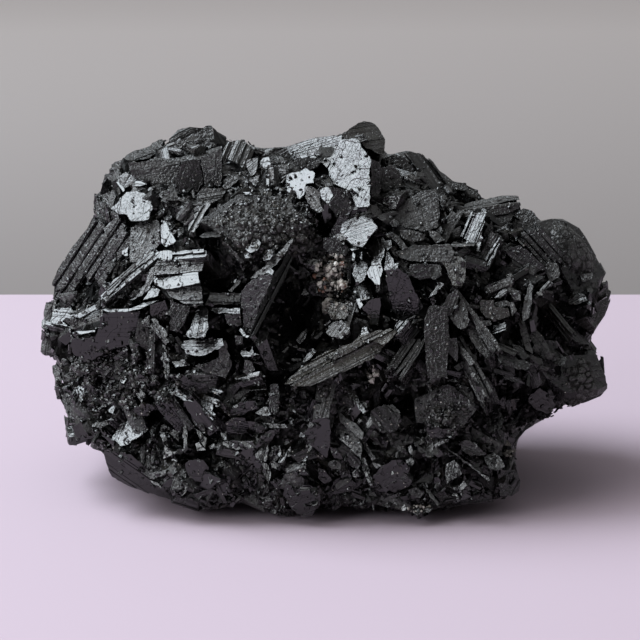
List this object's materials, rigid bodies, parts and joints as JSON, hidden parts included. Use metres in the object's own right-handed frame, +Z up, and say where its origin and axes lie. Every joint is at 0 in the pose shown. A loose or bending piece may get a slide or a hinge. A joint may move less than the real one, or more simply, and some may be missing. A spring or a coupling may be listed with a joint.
{
  "type": "black tourmaline crystal cluster",
  "caption": "Hand specimen of black tourmaline: one intergrown mass of glossy, striated, broken prisms, with a level underside to stand on.",
  "frame": {"origin": "middle of the bounding box, on the surface that the specimen stands on", "axes": "+X to the right along the length as seen from the front, +Y to the back, +Z up"},
  "size_m": [0.1122, 0.0822, 0.0727],
  "materials": {
    "tourmaline": "glossy, striated, near-black"
  },
  "bodies": {
    "root": {"tourmaline_cluster": "tourmaline"}
  },
  "joints": []
}
